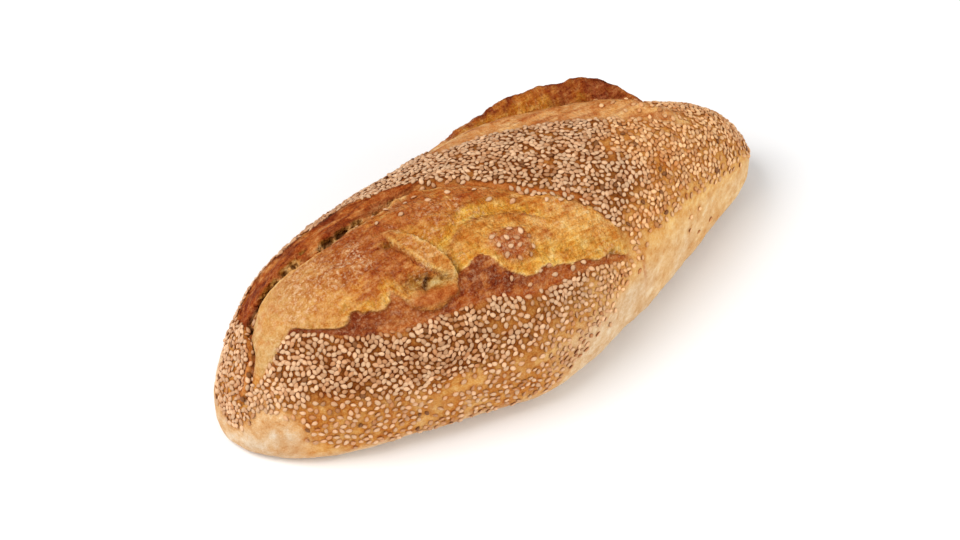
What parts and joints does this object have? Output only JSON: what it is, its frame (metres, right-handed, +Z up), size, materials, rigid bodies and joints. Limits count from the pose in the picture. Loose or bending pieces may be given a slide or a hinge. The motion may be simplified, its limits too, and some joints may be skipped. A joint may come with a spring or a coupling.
{
  "type": "bread roll",
  "caption": "A long baked bread roll with blunt tapering ends, a flat underside and diagonal slashes that opened on top with a raised ear of crust",
  "frame": {"origin": "centre of the loaf's outline on the table it rests on", "axes": "+X along the loaf towards its narrower end, +Y to the far flank, +Z up"},
  "size_m": [0.246, 0.1046, 0.0714],
  "materials": {
    "crust": "baked crust",
    "sesame_seed": "toasted seed"
  },
  "bodies": {
    "root": {"loaf": "crust"}
  },
  "joints": []
}
